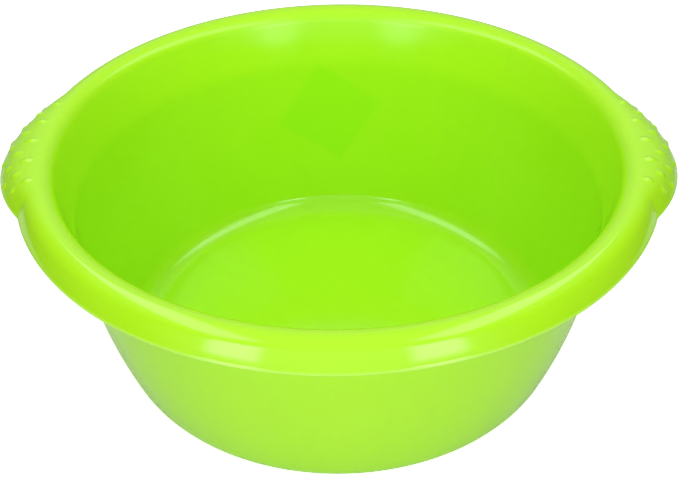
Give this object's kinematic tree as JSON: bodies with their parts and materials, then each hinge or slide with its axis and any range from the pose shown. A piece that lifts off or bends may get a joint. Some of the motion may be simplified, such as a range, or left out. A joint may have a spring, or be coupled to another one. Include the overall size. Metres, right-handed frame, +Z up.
{
  "type": "washing up bowl",
  "caption": "Round washing up bowl in glossy lime plastic: bellied wall, flat floor on a low foot ring, rolled rim drawn out into studded side grips, plain label on the back.",
  "frame": {"origin": "centre of the foot ring's underside, on the surface the bowl stands on", "axes": "+X points through the right grip, +Y to the back of the bowl where the label is, +Z up along the bowl's axis"},
  "size_m": [0.3926, 0.3706, 0.1455],
  "materials": {
    "lime_plastic": "gloss, slightly translucent",
    "label_paper": "matte"
  },
  "bodies": {
    "root": {"basin": "lime_plastic", "front_rim": "lime_plastic", "rear_rim": "lime_plastic", "left_grip": "lime_plastic", "right_grip": "lime_plastic", "label": "label_paper"}
  },
  "joints": []
}
